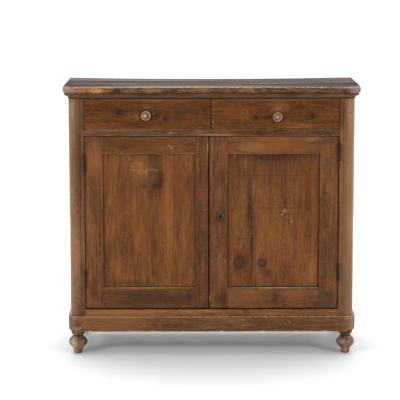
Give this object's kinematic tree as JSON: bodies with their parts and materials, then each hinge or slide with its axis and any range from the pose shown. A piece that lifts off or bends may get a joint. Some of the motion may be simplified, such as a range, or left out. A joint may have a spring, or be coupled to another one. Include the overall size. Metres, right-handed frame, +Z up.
{
  "type": "credenza",
  "caption": "Low stained pine cupboard with rounded front corners: knobbed drawers above framed panel doors, under a moulded top, on a plinth with turned feet.",
  "frame": {"origin": "on the floor, under the centre of the cupboard's bounding box", "axes": "+Z up, +X to the right seen from the front, +Y towards the back; doors and drawers face -Y"},
  "size_m": [1.2, 0.524, 1.092],
  "materials": {
    "stained_pine": "waxed dark brown stain, worn",
    "door_frame_pine": "waxed brown stain, worn",
    "panel_pine": "waxed brown stain with knots",
    "drawer_front_pine": "waxed reddish brown stain with knots",
    "moulding_pine": "waxed dark brown stain, dusty",
    "plinth_pine": "waxed brown stain, edges rubbed pale",
    "weathered_top_pine": "greyed and rubbed bare",
    "turned_foot_pine": "waxed brown stain, rubbed",
    "turned_knob_wood": "pale worn wood",
    "bare_pine": "unfinished, aged",
    "blackened_iron": "blackened, slightly rusted"
  },
  "bodies": {
    "carcass": {"left_front_post": "stained_pine", "right_front_post": "stained_pine", "left_rear_post": "stained_pine", "right_rear_post": "stained_pine", "left_side_rails": "stained_pine", "right_side_rails": "stained_pine", "left_side_panel": "panel_pine", "right_side_panel": "panel_pine", "top_front_rail": "stained_pine", "drawer_rail": "stained_pine", "bottom_rail": "stained_pine", "back_rails": "bare_pine", "back_boards": "bare_pine", "floor_board": "bare_pine", "shelf": "bare_pine", "shelf_battens": "bare_pine", "drawer_divider": "bare_pine", "drawer_runners": "bare_pine", "drawer_stops": "bare_pine", "top_front_board": "weathered_top_pine", "top_rear_board": "weathered_top_pine", "top_moulding_front": "moulding_pine", "top_moulding_returns": "moulding_pine", "plinth_front": "plinth_pine", "plinth_returns": "plinth_pine", "left_front_foot": "turned_foot_pine", "right_front_foot": "turned_foot_pine", "left_rear_foot": "turned_foot_pine", "right_rear_foot": "turned_foot_pine", "post_hinge_leaves": "blackened_iron", "hinge_pins": "blackened_iron", "post_hinge_screws": "blackened_iron"},
    "left_door": {"left_door_hinge_stile": "door_frame_pine", "left_door_lock_stile": "door_frame_pine", "left_door_rails": "door_frame_pine", "left_door_panel": "panel_pine", "left_door_hinge_leaves": "blackened_iron", "left_door_screws": "blackened_iron", "bolt_plate": "blackened_iron"},
    "shooting_bolt": {"shooting_bolt": "blackened_iron"},
    "right_door": {"right_door_hinge_stile": "door_frame_pine", "right_door_lock_stile": "door_frame_pine", "right_door_rails": "door_frame_pine", "right_door_panel": "panel_pine", "right_door_hinge_leaves": "blackened_iron", "right_door_screws": "blackened_iron", "keyhole_escutcheon": "blackened_iron", "lock_case": "blackened_iron", "lock_spring": "blackened_iron"},
    "lock_bolt": {"lock_bolt": "blackened_iron"},
    "left_drawer": {"left_drawer_front": "drawer_front_pine", "left_drawer_sides": "bare_pine", "left_drawer_back": "bare_pine", "left_drawer_bottom": "bare_pine", "left_drawer_knob": "turned_knob_wood"},
    "right_drawer": {"right_drawer_front": "drawer_front_pine", "right_drawer_sides": "bare_pine", "right_drawer_back": "bare_pine", "right_drawer_bottom": "bare_pine", "right_drawer_knob": "turned_knob_wood"}
  },
  "joints": [
    {"name": "left_door_swing", "type": "hinge", "parent": "carcass", "child": "left_door", "pos_m": [-0.512, -0.2363, 0.571], "axis": [0, 0, -1], "range_deg": [0, 170]},
    {"name": "right_door_swing", "type": "hinge", "parent": "carcass", "child": "right_door", "pos_m": [0.512, -0.2363, 0.571], "axis": [0, 0, 1], "range_deg": [0, 170]},
    {"name": "left_drawer_slide", "type": "slide", "parent": "carcass", "child": "left_drawer", "axis": [0, -1, 0], "range_m": [0, 0.33]},
    {"name": "right_drawer_slide", "type": "slide", "parent": "carcass", "child": "right_drawer", "axis": [0, -1, 0], "range_m": [0, 0.33]},
    {"name": "shooting_bolt_slide", "type": "slide", "parent": "left_door", "child": "shooting_bolt", "axis": [0, 0, 1], "range_m": [0, 0.014]},
    {"name": "lock_bolt_slide", "type": "slide", "parent": "right_door", "child": "lock_bolt", "axis": [-1, 0, 0], "range_m": [0, 0.014]}
  ]
}
